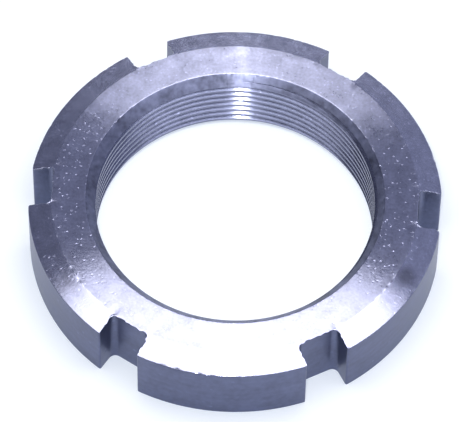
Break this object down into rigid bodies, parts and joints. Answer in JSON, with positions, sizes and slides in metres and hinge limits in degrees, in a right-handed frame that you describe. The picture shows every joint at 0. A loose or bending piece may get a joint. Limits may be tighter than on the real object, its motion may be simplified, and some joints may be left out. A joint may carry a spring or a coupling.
{
  "type": "castle nut",
  "caption": "Slotted round lock nut: a threaded steel ring with spanner slots across its rim, a wide shallow chamfer and a countersunk bore. Screws on a shaft to hold what is behind it.",
  "frame": {"origin": "middle of the flat bearing face, on the thread's axis", "axes": "+Z along the thread's axis, towards the chamfered face; +X through the middle of one rim slot"},
  "size_m": [0.0746, 0.075, 0.0135],
  "materials": {
    "turned_steel": "bright turned steel with lathe marks, milled slots, unplated"
  },
  "bodies": {
    "root": {"slotted_nut": "turned_steel"}
  },
  "joints": []
}
